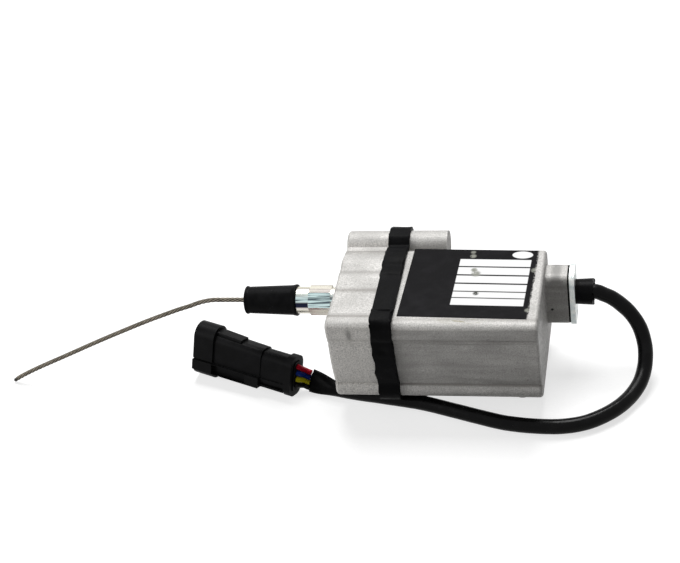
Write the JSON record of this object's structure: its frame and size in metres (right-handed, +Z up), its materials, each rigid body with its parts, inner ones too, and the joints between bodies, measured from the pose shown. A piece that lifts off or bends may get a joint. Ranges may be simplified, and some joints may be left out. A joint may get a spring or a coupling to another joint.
{
  "type": "electric stop actuator",
  "caption": "Motor driven stop actuator: a cast case whose lead screw pulls a wire rope out of a booted fitting, with a cable and four-way plug.",
  "frame": {"origin": "centre of the four tapped mounting pads under the case, on their lower faces", "axes": "+Z up, away from the pads; +X along the case from the rope outlet towards the cable end; +Y towards the case's back, the side with the two lobes"},
  "size_m": [0.3156, 0.087, 0.0588],
  "materials": {
    "cast_metal": "raw die cast aluminium, dull and fine grained",
    "band_rubber": "matte black rubber band, creased",
    "label_film": "black printed film, scuffed",
    "zinc_steel": "zinc plated with a pale iridescent passivation",
    "bright_steel": "drawn or ground steel",
    "dark_steel": "oxidised screw steel",
    "black_plastic": "moulded black plastic",
    "ferrite": "sintered dark grey ferrite",
    "copper_wire": "enamelled copper wire",
    "brass_parts": "machined brass and sintered bronze",
    "ivory_plastic": "natural acetal",
    "steel_rope": "stranded wire rope, oiled and dull",
    "black_rubber": "moulded black rubber",
    "green_board": "lacquered board with parts",
    "cable_pvc": "black cable sheath, worn glossy",
    "red_wire": "red wire insulation",
    "blue_wire": "blue wire insulation",
    "yellow_wire": "yellow wire insulation",
    "black_wire": "black wire insulation",
    "plug_plastic": "black glass filled plastic",
    "tin_pins": "tin plated contact pins"
  },
  "bodies": {
    "root": {"motor_case": "cast_metal", "gear_cover": "cast_metal", "joint_band": "band_rubber", "cover_screws": "dark_steel", "rating_label": "label_film", "motor_plate": "zinc_steel", "motor_can": "bright_steel", "motor_end_cap": "black_plastic", "motor_magnets": "ferrite", "motor_screws": "zinc_steel", "idler_axle": "bright_steel", "front_bush": "brass_parts", "rear_bush": "brass_parts", "guide_rod": "bright_steel", "outlet_fitting": "zinc_steel", "lock_washer": "zinc_steel", "rubber_boot": "black_rubber", "entry_gasket": "black_rubber", "entry_plate": "zinc_steel", "entry_screws": "zinc_steel", "cable_sleeve": "black_rubber", "circuit_board": "green_board", "end_switches": "black_plastic", "cable_sheath": "cable_pvc", "wire_red": "red_wire", "wire_blue": "blue_wire", "wire_yellow": "yellow_wire", "wire_black": "black_wire", "plug_housing": "plug_plastic", "plug_rear_cap": "plug_plastic", "plug_seal": "black_rubber", "plug_pins": "tin_pins"},
    "rotor": {"armature": "bright_steel", "windings": "copper_wire", "motor_pinion": "brass_parts"},
    "idler": {"idler_gear": "ivory_plastic"},
    "screw": {"lead_screw": "bright_steel", "screw_gear": "ivory_plastic"},
    "traveller": {"travelling_nut": "ivory_plastic", "rope_ferrule": "brass_parts", "pull_rope": "steel_rope"}
  },
  "joints": [
    {"name": "rotor_turn", "type": "hinge", "parent": "root", "child": "rotor", "pos_m": [0, -0.01202, 0.0275], "axis": [1, 0, 0], "range_deg": [0, 5760]},
    {"name": "idler_turn", "type": "hinge", "parent": "root", "child": "idler", "pos_m": [0, 0.00545, 0.02957], "axis": [1, 0, 0], "range_deg": [-2220, 0]},
    {"name": "screw_turn", "type": "hinge", "parent": "root", "child": "screw", "pos_m": [0, 0.01395, 0.0412], "axis": [1, 0, 0], "range_deg": [0, 1110]},
    {"name": "traveller_slide", "type": "slide", "parent": "root", "child": "traveller", "axis": [1, 0, 0], "range_m": [0, 0.0154]}
  ],
  "couplings": [
    {"joint": "idler_turn", "follows": "rotor_turn", "ratio": -0.375},
    {"joint": "screw_turn", "follows": "rotor_turn", "ratio": 0.1875},
    {"joint": "traveller_slide", "follows": "rotor_turn", "m_per_rad": 0.00014921}
  ]
}
